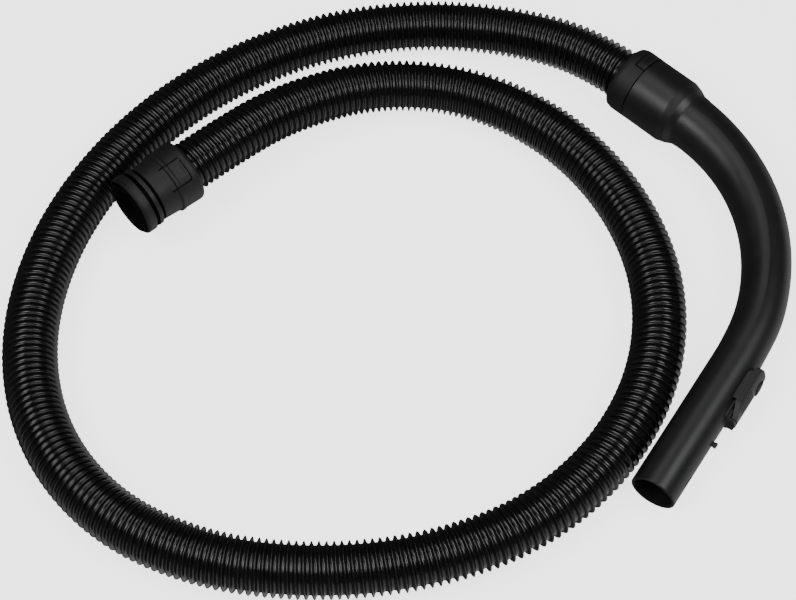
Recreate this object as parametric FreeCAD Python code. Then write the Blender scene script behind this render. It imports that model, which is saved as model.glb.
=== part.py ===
import FreeCAD, Part
import math
import os

# Canister-vacuum suction hose: corrugated hose, swivelling machine connector
# with two press tabs, swivelling bent hand tube with an air regulator slider.
# Millimetres, +Z up. The hose lies on the plane Z = 0.

os.makedirs("parts", exist_ok=True)
V = FreeCAD.Vector

# ---------------------------------------------------------------- dimensions
ORIGIN_X, ORIGIN_Y = 38.25, 27.85      # centre of the fittings' box, in the layout frame below

HOSE_OD = 40.0                       # over the corrugation crests
HOSE_ID = 35.6                       # same wall volume as the real folded wall
HOSE_R = HOSE_OD / 2

# hose route: corner points of the centreline between the two end legs, which
# lie on the fittings' axes; machine end first
END_LEG_M, END_LEG_H = 46.0, 49.0
ROUTE = [
    (-87.5, 166.9, 31.2), (-17.0, 195.7, 25.1),
    (58.7, 191.3, 20.8), (124.5, 151.7, 20.1), (171.4, 88.6, 20.1), (193.4, 14.0, 20.1),
    (185.2, -61.3, 20.1), (149.6, -128.0, 20.1), (93.8, -178.0, 20.1), (22.5, -205.8, 20.1),
    (-55.0, -214.3, 20.1), (-132.4, -205.2, 20.1), (-200.7, -172.6, 20.1), (-248.5, -115.0, 20.1),
    (-268.4, -41.3, 20.1), (-260.3, 35.7, 20.1), (-230.5, 106.8, 20.1), (-184.6, 167.4, 20.1),
    (-125.6, 215.0, 20.1), (-55.6, 247.1, 20.1), (21.8, 259.5, 20.1), (96.6, 249.6, 21.9),
]
ARC_SHARE = 0.45                     # part of the shorter run that each arc may use

# machine connector: axis point at the stop ring, heading, height
MC_X, MC_Y, MC_Z = -189.0, 80.3, 36.0
MC_HEADING = 41.2
MC_HOSE_END = 20.4                   # hose end face, along the connector axis
BORE_R = 20.0                        # air bore of the nozzle
SPIGOT_R = 24.0                      # spigot that enters the machine's socket
TAB_MID = 60.0                       # angle of the upper press tab round the axis
TAB_HALF = 24.0                      # half width of the tab's window, degrees
TAB_GAP = 0.9                        # slot round the tab
TAB_S0, TAB_S1 = 14.0, 31.9          # window, along the axis
SHELL_BORE_R = 22.9
NECK_R = 21.0                        # nozzle's inner tube, outside
GROOVE_R = 21.6                      # catch groove behind the spigot
GROOVE_MID = 75.0                    # middle of the groove's open part, degrees

# handle end: axis point at the seam, heading into the handle, height
HE_X, HE_Y, HE_Z = 192.0, 188.5, 26.6
HE_HEADING = -43.3
HE_HOSE_END = 2.0                    # hose end face, back from the seam
COLLAR_R = 26.6
COLLAR_L = 18.0
FLARE_R = 26.45
FLARE_L = 32.0
LATCH_MID = 78.5
LATCH_HALF = 21.5
LATCH_S = 9.6
LATCH_GAP = 0.45

# bent hand tube, in its own plane, which tips about the collar axis
TIP_DEG = 2.10
BEND_START = 42.0
BEND1_R, BEND1_DEG = 158.0, 40.9
BEND2_R, BEND2_DEG = 169.0, 39.2
STRAIGHT_L = 125.0
TUBE_R = [(42.0, 21.9), (60.0, 21.1), (80.0, 20.55), (100.0, 20.0), (125.0, 19.5),
          (150.0, 19.05), (180.0, 18.55), (210.0, 18.1), (240.0, 17.7)]
TUBE_WALL_START, TUBE_WALL_END = 2.7, 2.3
WAND_R = 17.0                        # wand end, outside
WAND_BORE_R = 15.0
WAND_CYL_L = 52.0                    # true cylinder at the wand end
PEG_FROM_END = 55.0
PEG_R = 2.0
WINDOW_FROM_END = (13.0, 24.0)       # latch window near the mouth
WINDOW_W = 7.0

# air regulator on the outer flank of the straight part, measured along it
REG_S0, REG_S1 = 7.5, 50.4
BED_R, LIP_R = 18.4, 23.3
PORT_S0, PORT_S1 = 32.5, 47.0
SL_S0, SL_S1 = 5.0, 48.2
SLIDER_R, SLIDER_IN = 23.8, 20.0
KNOB_R, KNOB_TOP = 5.7, 24.5


# ---------------------------------------------------------------- helpers
def rounded_face(pts):
    """Closed profile in XY; each point is (x, y) or (x, y, corner radius)."""
    n = len(pts)
    P = [V(p[0], p[1], 0) for p in pts]
    R = [p[2] if len(p) > 2 else 0.0 for p in pts]
    ends = []
    edges_mid = []
    for i in range(n):
        a, b, c = P[i - 1], P[i], P[(i + 1) % n]
        if R[i] <= 0:
            ends.append((b, b, None))
            continue
        u = (a - b).normalize()
        w = (c - b).normalize()
        ang = u.getAngle(w)
        t = R[i] / math.tan(ang / 2)
        p1, p2 = b + u * t, b + w * t
        bis = (u + w).normalize()
        cen = b + bis * (R[i] / math.sin(ang / 2))
        mid = cen - bis * R[i]
        ends.append((p1, p2, mid))
    edges = []
    for i in range(n):
        p1, p2, mid = ends[i]
        if mid is not None:
            edges.append(Part.Arc(p1, mid, p2).toShape())
        q = ends[(i + 1) % n][0]
        if (q - p2).Length > 1e-6:
            edges.append(Part.LineSegment(p2, q).toShape())
    return Part.Face(Part.Wire(edges))


def turned(pts):
    """Solid of revolution about X from an (s, r) profile."""
    return rounded_face(pts).revolve(V(0, 0, 0), V(1, 0, 0), 360)


def ring(s0, s1, r0, r1, c=0.0):
    s0, s1 = min(s0, s1), max(s0, s1)
    return turned([(s0, r0), (s1, r0), (s1, r1, c), (s0, r1, c)] if c else
                  [(s0, r0), (s1, r0), (s1, r1), (s0, r1)])


def turn_x(shape, deg):
    """Turn a shape built at +Z so that it sits at angle deg, measured from the
    local right-hand side (-Y) up to +Z."""
    m = FreeCAD.Matrix()
    m.rotateX(math.radians(90.0 - deg))
    return shape.transformed(m, True)


def rigid(*steps):
    m = FreeCAD.Matrix()
    for kind, val in steps:
        k = FreeCAD.Matrix()
        if kind == "x":
            k.rotateX(math.radians(val))
        elif kind == "z":
            k.rotateZ(math.radians(val))
        else:
            k.move(V(*val))
        m = k.multiply(m)
    return m


SHIFT = (-ORIGIN_X, -ORIGIN_Y, 0.0)
M_CONN = rigid(("z", MC_HEADING), ("t", (MC_X, MC_Y, MC_Z)), ("t", SHIFT))
# the collar is described with s running from the seam back over the hose, the
# handle with s running from the seam into the handle
M_COLLAR = rigid(("z", HE_HEADING + 180.0), ("t", (HE_X, HE_Y, HE_Z)), ("t", SHIFT))
M_HANDLE = rigid(("x", TIP_DEG), ("z", HE_HEADING), ("t", (HE_X, HE_Y, HE_Z)), ("t", SHIFT))

b1, b2 = math.radians(BEND1_DEG), math.radians(BEND2_DEG)
S1 = BEND_START + BEND1_R * b1
S2 = S1 + BEND2_R * b2


def plane_point(s):
    """Point and heading (radians, to the right) of the handle's axis at s."""
    if s <= BEND_START:
        return s, 0.0, 0.0
    a = min((s - BEND_START) / BEND1_R, b1)
    x = BEND_START + BEND1_R * math.sin(a)
    y = -BEND1_R * (1 - math.cos(a))
    if s <= S1:
        return x, y, a
    a2 = min((s - S1) / BEND2_R, b2)
    t = b1 + a2
    x += BEND2_R * (math.sin(t) - math.sin(b1))
    y -= BEND2_R * (math.cos(b1) - math.cos(t))
    if s > S2:
        x += (s - S2) * math.cos(t)
        y -= (s - S2) * math.sin(t)
    return x, y, t


ex, ey, et = plane_point(S2)
M_STRAIGHT = rigid(("z", -math.degrees(et)), ("t", (ex, ey, 0.0)))   # straight part -> handle plane

nodes = {}


def keep(name, shape, matrix):
    s = shape.transformed(matrix, True)
    if s.ShapeType == "Compound" and len(s.Solids) == 1:
        s = s.Solids[0]
    nodes[name] = s


# ---------------------------------------------------------------- the hose
def route_wire(points):
    P = [V(*p) for p in points]
    runs = [(P[i + 1] - P[i]).Length for i in range(len(P) - 1)]
    edges, radii = [], []
    last = P[0]
    for i in range(1, len(P) - 1):
        u = (P[i - 1] - P[i]).normalize()
        w = (P[i + 1] - P[i]).normalize()
        half = (math.pi - u.getAngle(w)) / 2           # half the turn
        t = ARC_SHARE * min(runs[i - 1], runs[i])
        r = t / math.tan(half)
        p1, p2 = P[i] + u * t, P[i] + w * t
        bis = (u + w).normalize()
        cen = P[i] + bis * math.sqrt(r * r + t * t)
        mid = cen - bis * r
        edges.append(Part.LineSegment(last, p1).toShape())
        edges.append(Part.Arc(p1, mid, p2).toShape())
        radii.append(r)
        last = p2
    edges.append(Part.LineSegment(last, P[-1]).toShape())
    return Part.Wire(edges), radii, P


def axis_point(x, y, z, heading, s):
    a = math.radians(heading)
    return (x + s * math.cos(a), y + s * math.sin(a), z)


ROUTE = ([axis_point(MC_X, MC_Y, MC_Z, MC_HEADING, MC_HOSE_END),
          axis_point(MC_X, MC_Y, MC_Z, MC_HEADING, MC_HOSE_END + END_LEG_M)]
         + ROUTE
         + [axis_point(HE_X, HE_Y, HE_Z, HE_HEADING + 180.0, HE_HOSE_END + END_LEG_H),
            axis_point(HE_X, HE_Y, HE_Z, HE_HEADING + 180.0, HE_HOSE_END)])
hose_wire, hose_radii, hose_pts = route_wire(ROUTE)
print("route in the model frame, mm", [(round(p[0] - ORIGIN_X, 2), round(p[1] - ORIGIN_Y, 2), round(p[2], 2))
                                        for p in ROUTE])


def swept(radius):
    n = (hose_pts[1] - hose_pts[0]).normalize()
    c = Part.Wire([Part.Circle(hose_pts[0], n, radius).toShape()])
    return hose_wire.makePipeShell([c], True, True)


hose = swept(HOSE_R).cut(swept(HOSE_ID / 2))
section = math.pi * (HOSE_R ** 2 - (HOSE_ID / 2) ** 2)
print("hose length mm", round(hose_wire.Length, 1))
print("hose arc radii mm", [round(r) for r in hose_radii])
print("hose volume / (section x length)", round(hose.Volume / (section * hose_wire.Length), 5))
keep("hose", hose, rigid(("t", SHIFT)))

# ---------------------------------------------------------------- machine end
# cuff screwed on the hose, turns inside the connector
keep("machine_end_cuff", turned([
    (18.5, 16.6), (20.4, 16.6), (20.4, 20.0), (36.8, 20.0), (36.8, 21.3, 0.4),
    (34.5, 21.3), (34.5, 22.5), (32.8, 22.5), (32.8, 21.3), (18.5, 21.3, 0.5)]), M_CONN)

# lip seal on the cuff's nose, against the nozzle's end
keep("machine_end_seal", turned([
    (17.95, 17.2), (18.5, 17.2), (18.5, 20.6), (17.95, 20.6)]), M_CONN)

# nozzle: coned nose, spigot, catch groove over the top, stop ring, inner tube
nozzle = turned([
    (-15.5, BORE_R), (-15.5, 20.9, 0.4), (-13.2, 23.8, 0.5), (-12.6, 23.8), (-12.6, 23.3), (-12.2, 23.3),
    (-12.2, SPIGOT_R), (-6.2, SPIGOT_R, 0.5), (-6.2, GROOVE_R), (-3.2, GROOVE_R), (-3.2, 23.5, 0.6),
    (0.4, 23.5, 0.6), (0.4, NECK_R), (17.5, NECK_R), (17.5, BORE_R)])
# below the catch groove's two ends the groove is filled
web = ring(-6.4, -3.0, GROOVE_R - 0.4, 23.1)
web = web.common(turn_x(Part.makeBox(4.0, 60.0, 30.0, V(-6.6, -30.0, 6.0)), GROOVE_MID + 180.0))
nozzle = nozzle.fuse(web).removeSplitter()
keep("connector_nozzle", nozzle, M_CONN)

# outer shell with the bead and the rear band
shell = turned([
    (3.0, NECK_R), (3.0, 22.1, 0.4), (17.6, 23.3), (18.4, 24.7, 0.5), (20.6, 24.8, 0.6), (21.6, 24.3),
    (35.5, 24.9, 2.0), (37.7, 24.0, 0.8), (37.7, 22.9), (36.9, 22.9), (36.9, 23.4),
    (35.1, 23.4), (35.1, SHELL_BORE_R), (18.6, SHELL_BORE_R), (18.2, 22.0), (13.4, 22.0), (13.4, NECK_R)])
TAB_R = 26.5
tab_nodes = []
tabs = {}
for name, mid in (("release_tab_upper", TAB_MID), ("release_tab_lower", TAB_MID + 180.0)):
    w = 24.6 * math.sin(math.radians(TAB_HALF))
    window = Part.makeBox(TAB_S1 - TAB_S0, 2 * w, 12.0, V(TAB_S0, -w, 16.0))
    window = window.makeFillet(1.6, [e for e in window.Edges
                                     if abs(e.BoundBox.XMin - TAB_S1) < 1e-6 and e.BoundBox.ZLength > 5])
    tw = w - TAB_GAP
    tab_box = Part.makeBox(TAB_S1 - TAB_S0 - TAB_GAP - 0.15, 2 * tw, 12.0, V(TAB_S0 + 0.15, -tw, 16.0))
    tab_box = tab_box.makeFillet(1.0, [e for e in tab_box.Edges
                                       if abs(e.BoundBox.XMin - (TAB_S1 - TAB_GAP)) < 1e-6
                                       and e.BoundBox.ZLength > 5])
    window, tab_box = turn_x(window, mid), turn_x(tab_box, mid)
    tab = shell.common(tab_box)
    # shallow finger recess in the tab's pad
    rec = turn_x(Part.makeBox(5.5, 11.0, 4.0, V(23.6, -5.5, 24.05)), mid)
    rec = rec.common(ring(20, 33, 24.05, 30))
    tab = tab.cut(rec)
    tabs[name] = tab
    tab_nodes.append((window, mid))
for window, mid in tab_nodes:
    shell = shell.cut(window.common(ring(TAB_S0 - 1, TAB_S1 + 1, NECK_R + 0.05, 30.0)))
keep("connector_shell", shell, M_CONN)
for name, tab in tabs.items():
    keep(name, tab, M_CONN)

# split ring in the shell's rear groove, behind the cuff's flange
snap = ring(35.2, 36.8, 21.7, 23.35)
snap = snap.cut(turn_x(Part.makeBox(3.0, 5.0, 6.0, V(34.6, -2.5, 20.0)), -90.0 + TAB_MID + 90.0))
keep("connector_snap_ring", snap, M_CONN)

# low-friction washer in front of the cuff's flange, in the shell
keep("swivel_washer", ring(31.95, 32.45, 21.6, 22.85), M_CONN)

# ---------------------------------------------------------------- handle end
keep("handle_end_cuff", turned([
    (17.0, 20.0), (17.0, 22.0, 0.5), (2.6, 22.0), (2.6, 21.0), (-14.0, 21.0), (-14.0, 20.2),
    (-16.4, 20.2), (-16.4, 21.0), (-27.7, 21.0), (-27.7, 22.2, 0.5), (-29.8, 21.2, 0.5),
    (-29.8, 16.6, 0.4), (2.0, 16.6), (2.0, 20.0)]), M_COLLAR)
keep("handle_end_seal", turned([
    (-14.1, 20.2), (-16.3, 20.2), (-16.3, 21.1, 0.4), (-14.1, 21.1, 0.4)]), M_COLLAR)

collar = turned([
    (0.35, 24.4), (0.35, COLLAR_R - 0.1), (13.0, COLLAR_R, 6.0), (16.6, 25.6, 1.6), (COLLAR_L, 23.9, 0.7),
    (COLLAR_L, 20.7, 0.3), (17.1, 20.7), (17.1, 22.0), (12.4, 22.0), (12.4, 24.4, 0.8)])
lw = COLLAR_R * math.sin(math.radians(LATCH_HALF))
lwin = Part.makeBox(LATCH_S + 1.0, 2 * lw, 12.0, V(-1.0, -lw, 17.0))
lwin = lwin.makeFillet(1.8, [e for e in lwin.Edges if abs(e.BoundBox.XMin - LATCH_S) < 1e-6
                             and e.BoundBox.ZLength > 5])
LATCH_TURN = LATCH_MID
collar = collar.cut(turn_x(lwin, LATCH_TURN))
keep("handle_end_collar", collar, M_COLLAR)

# press button with a hook that holds the hand tube
bw = lw - LATCH_GAP
blk = Part.makeBox(LATCH_S - LATCH_GAP - 0.45, 2 * bw, 12.0, V(0.45, -bw, 17.0))
blk = blk.makeFillet(1.35, [e for e in blk.Edges if abs(e.BoundBox.XMin - (LATCH_S - LATCH_GAP)) < 1e-6
                            and e.BoundBox.ZLength > 5])
button = blk.common(turned([(-1.0, 23.7), (-1.0, 27.0), (0.45, 27.0, 0.2), (2.0, 27.45, 1.0),
                            (7.2, 27.45, 1.6), (9.4, 26.5), (12.0, 26.5), (12.0, 23.7)]))
pull = Part.makePolygon([V(2.3, -5.2, 26.65), V(2.3, 5.2, 26.65), V(5.3, 3.4, 26.65), V(5.3, -3.4, 26.65),
                         V(2.3, -5.2, 26.65)])
button = button.cut(Part.Face(pull).extrude(V(0, 0, 3)))
tongue = Part.makeBox(7.0, 2 * bw - 4.0, 12.0, V(-5.4, -bw + 2.0, 17.0))
tongue = tongue.common(turned([(-5.4, 23.0), (-5.4, 24.6), (-5.0, 25.0), (-4.0, 25.0), (-4.0, 24.1),
                               (1.6, 24.1), (1.6, 23.0)]))
button = button.fuse(tongue).removeSplitter()
keep("collar_latch_button", turn_x(button, LATCH_TURN), M_COLLAR)

# ring that locks the collar to the cuff
keep("collar_lock_ring", ring(10.2, 12.35, 22.0, 23.4, 0.3), M_COLLAR)

# ---------------------------------------------------------------- hand tube
r_arc_end = 17.25
TUBE_R = TUBE_R + [(S2, r_arc_end)]


def loft_circles(radii):
    wires = []
    for s, r in radii:
        x, y, a = plane_point(s)
        wires.append(Part.Wire([Part.Circle(V(x, y, 0), V(math.cos(a), -math.sin(a), 0), r).toShape()]))
    return Part.makeLoft(wires, True, False)


def wall(s):
    f = (s - BEND_START) / (S2 - BEND_START)
    return TUBE_WALL_START + (TUBE_WALL_END - TUBE_WALL_START) * f


outer_bend = loft_circles(TUBE_R)
inner_bend = loft_circles([(s, r - wall(s)) for s, r in TUBE_R[:-1]] + [(S2, WAND_BORE_R)])
flare_out = turned([(0.35, 0.0), (0.35, FLARE_R - 0.05, 0.3), (FLARE_L, FLARE_R, 5.0),
                    (38.5, 24.6, 3.0), (44.0, 22.0, 5.0), (49.0, 21.62), (49.0, 0.0)])
flare_in = turned([(-1.0, 0.0), (-1.0, 24.5), (30.6, 24.5, 2.0), (36.5, 22.2, 3.0), (44.5, 18.3),
                   (44.5, 0.0)])
hook_groove = ring(3.1, 6.1, 20.0, 25.35)
cyl0 = STRAIGHT_L - WAND_CYL_L
straight_out = turned([(0.0, 0.0), (0.0, r_arc_end), (cyl0, WAND_R), (STRAIGHT_L, WAND_R, 0.7), (STRAIGHT_L, 0.0)])
straight_in = turned([(0.0, 0.0), (0.0, WAND_BORE_R), (STRAIGHT_L + 1.0, WAND_BORE_R), (STRAIGHT_L + 1.0, 0.0)])
tube = flare_out.fuse([outer_bend, straight_out.transformed(M_STRAIGHT, True)])
hollow = flare_in.fuse([inner_bend, straight_in.transformed(M_STRAIGHT, True), hook_groove])


def on_flank(shape):
    """A shape built above +Z of the straight part, turned to its outer flank (+Y)."""
    return shape.transformed(rigid(("x", -90.0)), True).transformed(M_STRAIGHT, True)


tube = tube.cut(hollow)
# air port under the regulator, latch window near the mouth, peg hole
port = on_flank(Part.makeBox(PORT_S1 - PORT_S0, 8.0, 12.0, V(PORT_S0, -4.0, 10.0)))
w0, w1 = STRAIGHT_L - WINDOW_FROM_END[1], STRAIGHT_L - WINDOW_FROM_END[0]
win = Part.makeBox(w1 - w0, WINDOW_W, 12.0, V(w0, -WINDOW_W / 2, 10.0))
win = win.makeFillet(1.5, [e for e in win.Edges if e.BoundBox.ZLength > 5])
peg_s = STRAIGHT_L - PEG_FROM_END
peg_hole = on_flank(Part.makeCylinder(PEG_R, 12.0, V(peg_s, 0, 10.0), V(0, 0, 1)))
tube = tube.cut(port).cut(on_flank(win)).cut(peg_hole)
keep("hand_tube", tube, M_HANDLE)

# swivel bush pressed in the flare; the hose cuff turns in it
keep("swivel_bush", turned([
    (7.2, 21.35), (27.3, 21.35), (27.3, 24.5, 0.4), (7.2, 24.5, 0.4)]), M_HANDLE)

# hollow locating peg
peg = Part.makeCylinder(PEG_R, 5.0, V(peg_s, 0, 15.05), V(0, 0, 1))
peg = peg.fuse(Part.makeCylinder(2.3, 1.6, V(peg_s, 0, 18.2), V(0, 0, 1)))
peg = peg.cut(Part.makeCylinder(1.1, 3.0, V(peg_s, 0, 17.6), V(0, 0, 1)))
keep("wand_peg", on_flank(peg), M_HANDLE)

# regulator bed: saddle on the tube with an air port, a guide slot and a louvred lip
def flank_sector(s0, s1, r0, r1, half_w):
    blk = Part.makeBox(s1 - s0, 2 * half_w, 30.0, V(s0, -half_w, 0.0))
    return blk.common(ring(s0 - 1, s1 + 1, r0, r1))


bed = flank_sector(REG_S0, REG_S1, 16.9, BED_R, 9.5)
lip = flank_sector(REG_S1 - 1.5, REG_S1, 16.9, LIP_R, 6.6)
ramp = flank_sector(REG_S1 - 7.4, REG_S1, 16.9, 19.5, 8.0)
for z in (-5.4, -1.8, 1.8, 5.4):
    ramp = ramp.cut(Part.makeBox(9.0, 0.9, 4.0, V(REG_S1 - 8.0, z - 0.45, 18.7)))
bed = bed.fuse([ramp, lip]).removeSplitter()
saddle_cut = turned([(REG_S0 - 2, 0.0), (REG_S0 - 2, r_arc_end - (REG_S0 - 2) * 0.25 / cyl0),
                     (REG_S1 + 2, r_arc_end - (REG_S1 + 2) * 0.25 / cyl0), (REG_S1 + 2, 0.0)])
bed = bed.cut(saddle_cut)
bed = bed.cut(Part.makeBox(PORT_S1 - PORT_S0, 8.0, 12.0, V(PORT_S0, -4.0, 10.0)))
bed = bed.cut(Part.makeBox(23.4, 4.4, 12.0, V(REG_S0 + 1.0, -2.2, 17.55)))
keep("regulator_bed", on_flank(bed), M_HANDLE)

# leaf spring in the guide slot
leaf = Part.makeBox(19.0, 3.4, 0.25, V(REG_S0 + 2.5, -1.7, 17.57))
keep("regulator_leaf_spring", on_flank(leaf), M_HANDLE)

# slider: saddle plate that tapers to the port end, side cheeks, round thumb
# knob, grip ribs and a keel that runs in the bed's slot
HALF = 12.4
plan = rounded_face([(SL_S0, -HALF, 2.5), (SL_S0 + 33.0, -HALF, 4.0), (SL_S1, -5.6, 1.2),
                     (SL_S1, 5.6, 1.2), (SL_S0 + 33.0, HALF, 4.0), (SL_S0, HALF, 2.5)])
slider = plan.extrude(V(0, 0, 40.0)).common(ring(SL_S0 - 1, SL_S1 + 1, SLIDER_IN, SLIDER_R, 0.0))
for side in (1, -1):
    ch = rounded_face([(SL_S0 + 8.0, 11.6), (SL_S0 + 31.0, 11.6, 1.0), (SL_S0 + 31.0, 20.6), (SL_S0 + 0.8, 20.6),
                       (SL_S0 + 0.8, 19.4, 1.0)])
    ch = ch.extrude(V(0, 0, 1.5))
    ch = ch.transformed(rigid(("x", 90.0)), True)        # profile's y becomes height
    ch = ch.transformed(rigid(("t", (0, HALF + 0.2 if side > 0 else -HALF + 1.3, 0))), True)
    ch = ch.common(ring(SL_S0, SL_S0 + 33.0, 17.62, SLIDER_R - 0.3))
    slider = slider.fuse(ch)
kx = SL_S0 + 9.5
knob = Part.makeCylinder(KNOB_R, KNOB_TOP - 20.5, V(kx, 0, 20.5), V(0, 0, 1))
knob = knob.makeFillet(0.5, [e for e in knob.Edges if abs(e.BoundBox.ZMin - KNOB_TOP) < 1e-3])
knob = knob.cut(Part.makeCylinder(KNOB_R - 1.3, 2.0, V(kx, 0, KNOB_TOP - 0.45), V(0, 0, 1)))
ring_cut = Part.makeCylinder(KNOB_R + 1.0, 6.0, V(kx, 0, SLIDER_R - 1.3), V(0, 0, 1))
slider = slider.cut(ring_cut).fuse(knob).removeSplitter()
for k in range(9):
    slider = slider.cut(ring(kx + 10.0 + 1.9 * k, kx + 10.8 + 1.9 * k, SLIDER_R - 0.45, SLIDER_R + 2.0))
keel = Part.makeBox(12.0, 3.8, 2.4, V(SL_S0 + 14.0, -1.9, 18.15))
slider = slider.fuse(keel).removeSplitter()
keep("regulator_slider", on_flank(slider), M_HANDLE)

# ---------------------------------------------------------------- output
box = None
for name, s in nodes.items():
    ok = s.isValid()
    print("%-24s solids %d valid %s volume %.1f" % (name, len(s.Solids), ok, s.Volume))
    s.exportStep("parts/%s.step" % name)
    if name != "hose":
        bb = s.optimalBoundingBox(True)
        if box is None:
            box = bb
        else:
            box.add(bb)
print("fittings box", [round(v, 2) for v in (box.XMin, box.XMax, box.YMin, box.YMax, box.ZMin, box.ZMax)])
print("centre", round((box.XMin + box.XMax) / 2, 3), round((box.YMin + box.YMax) / 2, 3))
m = M_HANDLE.multiply(M_STRAIGHT)
print("mouth centre", m.multVec(V(STRAIGHT_L, 0, 0)), "flank out", m.multVec(V(0, 1, 0)) - m.multVec(V(0, 0, 0)),
      "along", m.multVec(V(1, 0, 0)) - m.multVec(V(0, 0, 0)))
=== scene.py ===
import math

import bmesh
import bpy
import numpy as np
from mathutils import Matrix, Vector


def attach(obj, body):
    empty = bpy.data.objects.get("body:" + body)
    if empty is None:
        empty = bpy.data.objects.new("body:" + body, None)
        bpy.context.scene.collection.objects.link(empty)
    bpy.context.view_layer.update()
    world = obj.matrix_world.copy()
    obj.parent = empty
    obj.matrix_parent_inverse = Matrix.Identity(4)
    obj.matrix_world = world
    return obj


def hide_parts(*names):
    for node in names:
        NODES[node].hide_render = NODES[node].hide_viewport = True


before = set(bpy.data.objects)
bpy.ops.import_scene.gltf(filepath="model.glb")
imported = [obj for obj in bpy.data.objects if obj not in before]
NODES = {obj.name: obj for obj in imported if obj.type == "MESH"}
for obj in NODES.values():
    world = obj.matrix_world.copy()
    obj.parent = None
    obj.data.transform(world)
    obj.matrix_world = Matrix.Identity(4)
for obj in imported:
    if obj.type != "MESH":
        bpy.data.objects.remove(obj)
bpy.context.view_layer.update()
scene = bpy.context.scene
MM = 0.001


# ------------------------------------------------------------------ camera
cam_data = bpy.data.cameras.new("camera")
cam_data.sensor_width = 36.0
cam_data.sensor_fit = "HORIZONTAL"
cam_data.lens = 83.13
cam_data.clip_start = 0.01
cam_data.clip_end = 20.0
cam = bpy.data.objects.new("camera", cam_data)
cam.location = (-0.03825, -0.72037, 1.17255)
cam.rotation_euler = (math.radians(31.0), 0.0, 0.0)
scene.collection.objects.link(cam)
scene.camera = cam


# ------------------------------------------------------------------ materials
class Nodes:
    """Short hand for building a node tree."""

    def __init__(self, name):
        self.mat = bpy.data.materials.new(name)
        self.mat.use_nodes = True
        self.tree = self.mat.node_tree
        self.tree.nodes.clear()
        self.out = self.tree.nodes.new("ShaderNodeOutputMaterial")
        self.bsdf = self.tree.nodes.new("ShaderNodeBsdfPrincipled")
        self.tree.links.new(self.bsdf.outputs["BSDF"], self.out.inputs["Surface"])
        self.coord = self.tree.nodes.new("ShaderNodeTexCoord")

    def new(self, kind, **props):
        n = self.tree.nodes.new(kind)
        for k, v in props.items():
            setattr(n, k, v)
        return n

    def link(self, a, b):
        self.tree.links.new(a, b)

    def noise(self, scale, detail=3.0, rough=0.5, distort=0.0):
        n = self.new("ShaderNodeTexNoise")
        n.inputs["Scale"].default_value = scale
        n.inputs["Detail"].default_value = detail
        n.inputs["Roughness"].default_value = rough
        n.inputs["Distortion"].default_value = distort
        self.link(self.coord.outputs["Object"], n.inputs["Vector"])
        return n.outputs["Fac"]

    def voronoi(self, scale):
        n = self.new("ShaderNodeTexVoronoi")
        n.inputs["Scale"].default_value = scale
        self.link(self.coord.outputs["Object"], n.inputs["Vector"])
        return n.outputs["Distance"]

    def ramp(self, fac, stops):
        n = self.new("ShaderNodeValToRGB")
        el = n.color_ramp.elements
        while len(el) < len(stops):
            el.new(0.5)
        for e, (p, c) in zip(el, stops):
            e.position = p
            e.color = (c[0], c[1], c[2], 1.0)
        self.link(fac, n.inputs["Fac"])
        return n.outputs["Color"]

    def span(self, fac, low, high, f0=0.3, f1=0.7):
        n = self.new("ShaderNodeMapRange")
        n.inputs["From Min"].default_value = f0
        n.inputs["From Max"].default_value = f1
        n.inputs["To Min"].default_value = low
        n.inputs["To Max"].default_value = high
        self.link(fac, n.inputs["Value"])
        return n.outputs["Result"]

    def mix(self, a, b, fac):
        n = self.new("ShaderNodeMath", operation="MULTIPLY_ADD")
        self.link(a, n.inputs[0])
        n.inputs[1].default_value = fac
        self.link(b, n.inputs[2])
        return n.outputs[0]

    def bump(self, height, strength, distance, under=None):
        n = self.new("ShaderNodeBump")
        n.inputs["Strength"].default_value = strength
        n.inputs["Distance"].default_value = distance
        self.link(height, n.inputs["Height"])
        if under is not None:
            self.link(under, n.inputs["Normal"])
        return n.outputs["Normal"]


def grey(v, warm=0.0):
    return (v * (1 + warm), v, v * (1 - warm))


def plastic(name, base, rough, grain=1500.0, grain_depth=0.00006, grain_strength=0.35, mottle=0.18,
            spread=0.06, ior=1.46, scuffs=True):
    """Moulded plastic with a spark-eroded grain, faint flow mottling and handling scuffs."""
    m = Nodes(name)
    flow = m.noise(24.0, 4.0, 0.55, 0.3)
    fine = m.noise(260.0, 3.0, 0.6)
    both = m.mix(fine, flow, 0.35)
    c = m.ramp(both, [(0.35, grey(base * (1 - mottle), 0.01)), (0.60, grey(base, 0.0)), (0.95, grey(base * (1 + 1.4 * mottle), -0.01))])
    m.link(c, m.bsdf.inputs["Base Color"])
    r = m.span(both, rough - spread, rough + spread, 0.45, 0.9)
    m.link(r, m.bsdf.inputs["Roughness"])
    g = m.noise(grain, 2.0, 0.65)
    n = m.bump(g, grain_strength, grain_depth)
    if scuffs:
        s = m.noise(95.0, 6.0, 0.75, 1.2)
        n = m.bump(s, 0.10, 0.00008, n)
    m.link(n, m.bsdf.inputs["Normal"])
    m.bsdf.inputs["IOR"].default_value = ior
    return m.mat


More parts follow.
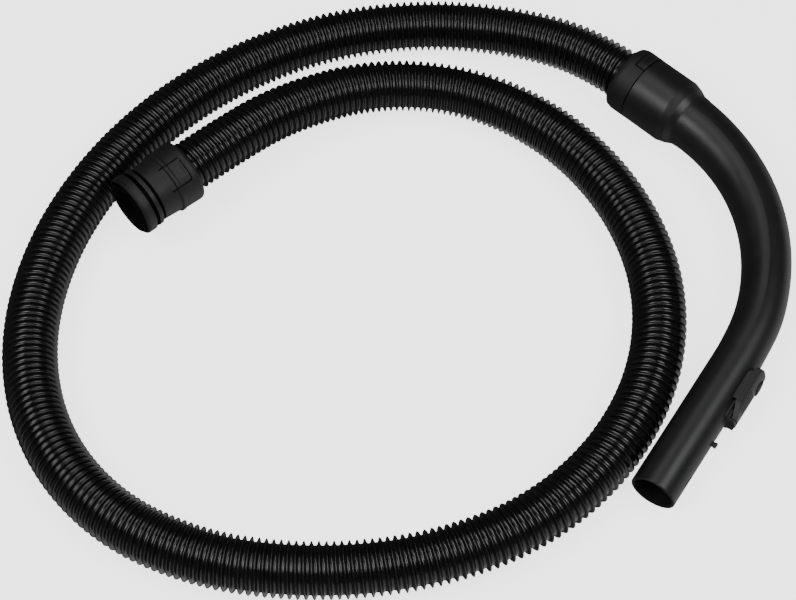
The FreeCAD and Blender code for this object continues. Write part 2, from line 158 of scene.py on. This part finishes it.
def nozzle_plastic(name, base, rough, centre, axis):
    """The connector's plastic; painted shade darkens the catch groove (near-black colour, low specular) and
    the bore is smooth.
    """
    mat = plastic(name, base, rough, grain=1700.0, grain_strength=0.45)
    tree = mat.node_tree
    bsdf = next(n for n in tree.nodes if n.type == "BSDF_PRINCIPLED")
    coord = next(n for n in tree.nodes if n.type == "TEX_COORD")

    def vec(op, a, b=None, scale=None):
        n = tree.nodes.new("ShaderNodeVectorMath")
        n.operation = op
        for k, v in enumerate((a, b)):
            if v is None:
                continue
            if isinstance(v, tuple):
                n.inputs[k].default_value = v
            else:
                tree.links.new(v, n.inputs[k])
        if scale is not None:
            tree.links.new(scale, n.inputs["Scale"])
        return n

    d = vec("SUBTRACT", coord.outputs["Object"], tuple(centre)).outputs[0]
    along = vec("DOT_PRODUCT", d, tuple(axis)).outputs["Value"]
    foot = vec("SCALE", tuple(axis), scale=along).outputs[0]
    radial = vec("LENGTH", vec("SUBTRACT", d, foot).outputs[0]).outputs["Value"]

    def span(value, f0, f1, t0, t1):
        n = tree.nodes.new("ShaderNodeMapRange")
        n.interpolation_type = "SMOOTHSTEP"
        for k, v in (("From Min", f0), ("From Max", f1), ("To Min", t0), ("To Max", t1)):
            n.inputs[k].default_value = v
        tree.links.new(value, n.inputs["Value"])
        return n.outputs["Result"]

    # painted shade: radial mask that is zero on the catch groove ring, so the recess is painted dark
    open_face = span(radial, 0.0216, 0.0233, 0.0, 1.0)
    bore = span(radial, 0.0203, 0.0207, 1.0, 0.0)
    keep = tree.nodes.new("ShaderNodeMath")
    keep.operation = "MAXIMUM"
    tree.links.new(open_face, keep.inputs[0])
    tree.links.new(bore, keep.inputs[1])
    old = bsdf.inputs["Base Color"].links[0].from_socket
    shade = tree.nodes.new("ShaderNodeMix")
    shade.data_type = "RGBA"
    # near-black colour of the painted shade in the catch groove
    shade.inputs[6].default_value = (0.0006, 0.0006, 0.0006, 1.0)
    tree.links.new(keep.outputs[0], shade.inputs[0])
    tree.links.new(old, shade.inputs[7])
    tree.links.new(shade.outputs[2], bsdf.inputs["Base Color"])
    # the painted groove shade also drops the specular level
    tree.links.new(span(keep.outputs[0], 0.0, 1.0, 0.05, 0.5), bsdf.inputs["Specular IOR Level"])
    rough_old = bsdf.inputs["Roughness"].links[0].from_socket
    less = tree.nodes.new("ShaderNodeMath")
    less.operation = "MULTIPLY_ADD"
    tree.links.new(bore, less.inputs[0])
    less.inputs[1].default_value = -0.24
    tree.links.new(rough_old, less.inputs[2])
    tree.links.new(less.outputs[0], bsdf.inputs["Roughness"])
    return mat


def rubber(name, base, rough):
    m = Nodes(name)
    flow = m.noise(70.0, 4.0, 0.6)
    m.link(m.ramp(flow, [(0.3, grey(base * 0.8)), (0.7, grey(base * 1.25))]), m.bsdf.inputs["Base Color"])
    m.link(m.span(flow, rough - 0.08, rough + 0.08), m.bsdf.inputs["Roughness"])
    m.link(m.bump(m.noise(1900.0, 2.0), 0.3, 0.00004), m.bsdf.inputs["Normal"])
    return m.mat


def steel(name):
    m = Nodes(name)
    st = m.noise(600.0, 5.0, 0.7, 0.5)
    m.link(m.ramp(st, [(0.3, (0.42, 0.43, 0.45)), (0.7, (0.60, 0.61, 0.63))]), m.bsdf.inputs["Base Color"])
    m.link(m.span(st, 0.25, 0.42), m.bsdf.inputs["Roughness"])
    m.bsdf.inputs["Metallic"].default_value = 1.0
    m.link(m.bump(st, 0.2, 0.00003), m.bsdf.inputs["Normal"])
    return m.mat


def hose_plastic(name):
    """Glossy blow-moulded hose wall: faint drag lines, random dust mottling."""
    m = Nodes(name)
    dust = m.noise(150.0, 5.0, 0.62, 0.4)
    base = m.ramp(dust, [(0.30, grey(0.0042)), (0.62, grey(0.0065)), (0.90, grey(0.0115, 0.02))])
    m.link(base, m.bsdf.inputs["Base Color"])
    m.link(m.span(dust, 0.17, 0.30, 0.35, 0.80), m.bsdf.inputs["Roughness"])
    wav = m.noise(420.0, 3.0, 0.55)
    n = m.bump(wav, 0.25, 0.00012)
    n = m.bump(m.noise(2400.0, 2.0), 0.12, 0.00004, n)
    m.link(n, m.bsdf.inputs["Normal"])
    m.bsdf.inputs["IOR"].default_value = 1.50
    return m.mat


MAT_HOSE = hose_plastic("hose_wall")
MAT_CONN = plastic("connector_grain", 0.0046, 0.56, grain=1700.0, grain_strength=0.45)
CONN_C = Vector((-0.22725, 0.05245, 0.0360))
CONN_A = Vector((math.cos(math.radians(41.2)), math.sin(math.radians(41.2)), 0.0))
MAT_NOZZLE = nozzle_plastic("nozzle_grain_groove_shade", 0.0046, 0.54, CONN_C, CONN_A)
MAT_TUBE = plastic("hand_tube_satin", 0.0080, 0.40, grain=2300.0, grain_strength=0.22, spread=0.05)
MAT_SLIDER = plastic("slider_satin", 0.0105, 0.44, grain=2000.0, grain_strength=0.30)
MAT_INNER = plastic("inner_plain", 0.016, 0.55, grain=1200.0)
MAT_SLIP = plastic("slip_natural", 0.50, 0.42, grain=1500.0, mottle=0.06)
MAT_SEAL = rubber("seal_rubber", 0.010, 0.62)
MAT_STEEL = steel("spring_strip")

LOOK = {
    "machine_end_cuff": MAT_INNER, "machine_end_seal": MAT_SEAL, "connector_nozzle": MAT_NOZZLE,
    "connector_shell": MAT_CONN, "release_tab_upper": MAT_CONN,
    "release_tab_lower": MAT_CONN, "connector_snap_ring": MAT_INNER, "swivel_washer": MAT_SLIP,
    "handle_end_cuff": MAT_INNER, "handle_end_seal": MAT_SEAL, "handle_end_collar": MAT_CONN,
    "collar_latch_button": MAT_CONN, "collar_lock_ring": MAT_INNER, "hand_tube": MAT_TUBE,
    "swivel_bush": MAT_SLIP, "wand_peg": MAT_TUBE, "regulator_bed": MAT_TUBE,
    "regulator_leaf_spring": MAT_STEEL, "regulator_slider": MAT_SLIDER,
}
for node, mat in LOOK.items():
    ob = NODES[node]
    ob.data.materials.clear()
    ob.data.materials.append(mat)


# ------------------------------------------------------------------ the hose
# corner points of the route, in millimetres, machine end first
ROUTE = [
    (-211.90, 65.89, 36.00), (-177.29, 96.19, 36.00), (-125.75, 139.05, 31.20), (-55.25, 167.85, 25.10),
    (20.45, 163.45, 20.80), (86.25, 123.85, 20.10), (133.15, 60.75, 20.10), (155.15, -13.85, 20.10),
    (146.95, -89.15, 20.10), (111.35, -155.85, 20.10), (55.55, -205.85, 20.10), (-15.75, -233.65, 20.10),
    (-93.25, -242.15, 20.10), (-170.65, -233.05, 20.10), (-238.95, -200.45, 20.10), (-286.75, -142.85, 20.10),
    (-306.65, -69.15, 20.10), (-298.55, 7.85, 20.10), (-268.75, 78.95, 20.10), (-222.85, 139.55, 20.10),
    (-163.85, 187.15, 20.10), (-93.85, 219.25, 20.10), (-16.45, 231.65, 20.10), (58.35, 221.75, 21.90),
    (116.63, 195.63, 26.60), (152.29, 162.02, 26.60),
]
# the hose is stretched a little unevenly: distance along it in metres, ridge pitch in mm
PITCH = [(0.00, 5.10), (0.25, 5.13), (0.48, 5.37), (0.68, 5.58), (0.85, 5.41), (1.08, 4.87), (1.30, 4.97),
         (1.60, 5.25), (1.82, 5.25)]
# one ridge: share of the pitch, radius in mm
RIDGE = [(0.00, 16.75), (0.17, 16.85), (0.28, 17.7), (0.38, 19.3), (0.50, 20.0), (0.62, 19.3), (0.72, 17.7), (0.83, 16.85)]
AROUND = 32
INNER_R = 16.0

route = bpy.data.curves.new("hose_route", "CURVE")
route.dimensions = "3D"
route.resolution_u = 24
spline = route.splines.new("NURBS")
spline.points.add(len(ROUTE) - 1)
for p, q in zip(spline.points, ROUTE):
    p.co = (q[0] * MM, q[1] * MM, q[2] * MM, 1.0)
spline.order_u = 3
spline.use_endpoint_u = True
route_ob = bpy.data.objects.new("hose_route", route)
scene.collection.objects.link(route_ob)
bpy.context.view_layer.update()
line = bpy.data.meshes.new_from_object(route_ob)
path = np.array([v.co for v in line.vertices], float)
bpy.data.meshes.remove(line)
bpy.data.objects.remove(route_ob)


def along_path(path):
    """Functions giving the point and the carried frame at any distance along the path."""
    seg = np.linalg.norm(np.diff(path, axis=0), axis=1)
    keep = np.concatenate([[True], seg > 1e-9])
    path = path[keep]
    seg = np.linalg.norm(np.diff(path, axis=0), axis=1)
    s = np.concatenate([[0.0], np.cumsum(seg)])
    tan = np.gradient(path, s, axis=0)
    tan /= np.linalg.norm(tan, axis=1)[:, None]
    up = np.zeros_like(path)
    u = np.array([0.0, 0.0, 1.0])
    for i in range(len(path)):
        u = u - tan[i] * np.dot(u, tan[i])
        u /= np.linalg.norm(u)
        up[i] = u

    def at(d):
        d = np.asarray(d, float)
        p = np.stack([np.interp(d, s, path[:, k]) for k in range(3)], -1)
        t = np.stack([np.interp(d, s, tan[:, k]) for k in range(3)], -1)
        n = np.stack([np.interp(d, s, up[:, k]) for k in range(3)], -1)
        before, after = d < 0, d > s[-1]
        p = np.where(before[..., None], path[0] + tan[0] * d[..., None], p)
        p = np.where(after[..., None], path[-1] + tan[-1] * (d - s[-1])[..., None], p)
        t /= np.linalg.norm(t, axis=-1, keepdims=True)
        n -= t * np.sum(n * t, -1, keepdims=True)
        n /= np.linalg.norm(n, axis=-1, keepdims=True)
        b = np.cross(t, n)
        return p, t, n, b

    return at, s[-1]


at, hose_len = along_path(path)
print("hose spline length", round(hose_len, 4))


def mesh_object(name, verts, faces, mat, smooth=True, sharp=None):
    me = bpy.data.meshes.new(name)
    me.from_pydata([tuple(v) for v in verts], [], [tuple(f) for f in faces])
    me.update()
    if smooth:
        me.polygons.foreach_set("use_smooth", [True] * len(me.polygons))
    if sharp is not None:
        me.set_sharp_from_angle(angle=math.radians(sharp))
    me.materials.append(mat)
    ob = bpy.data.objects.new(name, me)
    scene.collection.objects.link(ob)
    return ob


def corrugated(length):
    """Ridged tube with a plain bore; the ridges wind round it as a screw, and
    both ends are closed by a face between the ridges and the bore."""
    per = len(RIDGE)
    fine = np.linspace(0.0, length, 4000)
    step = np.interp(fine, [p[0] for p in PITCH], [p[1] * MM for p in PITCH])
    turn = np.concatenate([[0.0], np.cumsum((fine[1:] - fine[:-1]) / ((step[1:] + step[:-1]) / 2))])
    ridges = int(round(turn[-1])) - 1
    turn *= (ridges + 1) / turn[-1]

    def dist(u):
        return np.interp(u, turn, fine)

    rows = [(i + f, r * MM) for i in range(ridges) for f, r in RIDGE] + [(float(ridges), RIDGE[0][1] * MM)]
    u = np.array([r[0] for r in rows])
    rad = np.array([r[1] for r in rows])
    ang = np.arange(AROUND) * 2 * math.pi / AROUND
    D = dist(u[:, None] + (ang / (2 * math.pi))[None, :])
    p, t, n, b = at(D)
    v = p + (n * np.cos(ang)[None, :, None] + b * np.sin(ang)[None, :, None]) * rad[:, None, None]
    bm = bmesh.new()
    N = len(rows)
    out = [[bm.verts.new(v[i, j]) for j in range(AROUND)] for i in range(N)]
    # the last turn's seam runs on to one more pitch at angle zero
    tail = []
    for k in range(1, per + 1):
        f = RIDGE[k % per][0] + (1 if k == per else 0)
        pp, tt, nn, bb = at(np.array(dist(ridges + f)))
        tail.append(bm.verts.new(pp + nn * RIDGE[k % per][1] * MM))

    def first(i):
        return out[i][0] if i < N else tail[i - N]

    for i in range(N - 1):
        for j in range(AROUND - 1):
            bm.faces.new((out[i][j], out[i][j + 1], out[i + 1][j + 1], out[i + 1][j]))
        bm.faces.new((out[i][AROUND - 1], first(i + per), first(i + per + 1), out[i + 1][AROUND - 1]))
    loop0 = out[0] + [out[k][0] for k in range(per, 0, -1)]
    loop1 = out[N - 1] + [first(N - 1 + k) for k in range(per, 0, -1)]
    # plain bore
    di = np.linspace(0.0, length, ridges // 2 + 1)
    p, t, n, b = at(np.repeat(di[:, None], AROUND, 1))
    vi = p + (n * np.cos(ang)[None, :, None] + b * np.sin(ang)[None, :, None]) * INNER_R * MM
    inn = [[bm.verts.new(vi[i, j]) for j in range(AROUND)] for i in range(len(di))]
    for i in range(len(di) - 1):
        for j in range(AROUND):
            k = (j + 1) % AROUND
            bm.faces.new((inn[i][j], inn[i + 1][j], inn[i + 1][k], inn[i][k]))
    # end faces: the ridged loop has the seam's extra points at angle zero
    for lo, ir, flip in ((loop0, inn[0], False), (loop1, inn[-1], True)):
        for j in range(AROUND - 1):
            q = (lo[j], ir[j], ir[j + 1], lo[j + 1])
            bm.faces.new(q[::-1] if flip else q)
        q = (lo[AROUND - 1], ir[AROUND - 1], ir[0], lo[AROUND])
        bm.faces.new(q[::-1] if flip else q)
        for k in range(AROUND, AROUND + per - 1):
            q = (lo[k], ir[0], lo[k + 1])
            bm.faces.new(q[::-1] if flip else q)
        q = (lo[AROUND + per - 1], ir[0], lo[0])
        bm.faces.new(q[::-1] if flip else q)
    bmesh.ops.recalc_face_normals(bm, faces=bm.faces)
    open_edges = sum(1 for e in bm.edges if len(e.link_faces) != 2)
    print("hose mesh faces", len(bm.faces), "open edges", open_edges)
    me = bpy.data.meshes.new("hose_corrugated")
    bm.to_mesh(me)
    bm.free()
    me.polygons.foreach_set("use_smooth", [True] * len(me.polygons))
    me.materials.append(MAT_HOSE)
    ob = bpy.data.objects.new("hose_corrugated", me)
    scene.collection.objects.link(ob)
    return ob


hose = corrugated(hose_len)
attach(hose, "hose")
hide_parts("hose")


# ------------------------------------------------------------------ floor and light
bpy.ops.mesh.primitive_plane_add(size=8.0, location=(0, 0.6, -0.0004))
floor = bpy.context.object
floor.name = "floor"
fm = Nodes("floor_paper")
fm.link(fm.ramp(fm.noise(3.0, 2.0), [(0.3, grey(0.86)), (0.7, grey(0.88))]), fm.bsdf.inputs["Base Color"])
fm.bsdf.inputs["Roughness"].default_value = 0.85
fm.bsdf.inputs["Emission Color"].default_value = (1, 1, 1, 1)
fm.bsdf.inputs["Emission Strength"].default_value = 2.4
floor.data.materials.append(fm.mat)
floor.visible_glossy = False          # the sheet lights the part but doesn't mirror in it


def area(name, loc, target, size, power, size_y=None):
    d = bpy.data.lights.new(name, "AREA")
    d.shape = "RECTANGLE"
    d.size = size
    d.size_y = size_y or size
    d.energy = power
    o = bpy.data.objects.new(name, d)
    o.location = loc
    o.rotation_euler = (Vector(target) - Vector(loc)).to_track_quat("-Z", "Y").to_euler()
    scene.collection.objects.link(o)
    return o


area("softbox_left", (-0.88, -0.42, 1.30), (-0.03, 0.05, 0), 1.15, 15, 0.62)
area("softbox_right", (0.82, -0.42, 1.30), (-0.03, 0.05, 0), 1.15, 13, 0.62)
area("overhead", (-0.10, 0.45, 1.60), (0.10, 0.0, 0), 0.80, 5, 0.80)

world = bpy.data.worlds.new("world")
world.use_nodes = True
wt = world.node_tree
bg = wt.nodes["Background"]
bg.inputs["Color"].default_value = (1, 1, 1, 1)
wc = wt.nodes.new("ShaderNodeTexCoord")


def wnode(kind, op=None, vals=(), **ins):
    n = wt.nodes.new(kind)
    if op:
        n.operation = op
    for k, v in enumerate(vals):
        if isinstance(v, (int, float)):
            n.inputs[k].default_value = v
        elif v is not None:
            wt.links.new(v, n.inputs[k])
    return n


sep = wt.nodes.new("ShaderNodeSeparateXYZ")
wt.links.new(wc.outputs["Generated"], sep.inputs[0])
side = wnode("ShaderNodeMath", "MULTIPLY", (sep.outputs["X"], 0.75)).outputs[0]
side = wnode("ShaderNodeMath", "MULTIPLY_ADD", (sep.outputs["Y"], -0.45, side)).outputs[0]
near = wt.nodes.new("ShaderNodeMapRange")
near.interpolation_type = "SMOOTHSTEP"
for k, v in (("From Min", -0.05), ("From Max", 0.35), ("To Min", 0.0), ("To Max", 1.0)):
    near.inputs[k].default_value = v
wt.links.new(side, near.inputs["Value"])
low = wt.nodes.new("ShaderNodeMapRange")
for k, v in (("From Min", 0.10), ("From Max", -0.10), ("To Min", 0.0), ("To Max", 1.0)):
    low.inputs[k].default_value = v
wt.links.new(sep.outputs["Z"], low.inputs["Value"])
glow = wnode("ShaderNodeMath", "MULTIPLY", (near.outputs["Result"], low.outputs["Result"])).outputs[0]
glow = wnode("ShaderNodeMath", "MULTIPLY_ADD", (glow, 0.75, 0.045)).outputs[0]
wt.links.new(glow, bg.inputs["Strength"])
scene.world = world
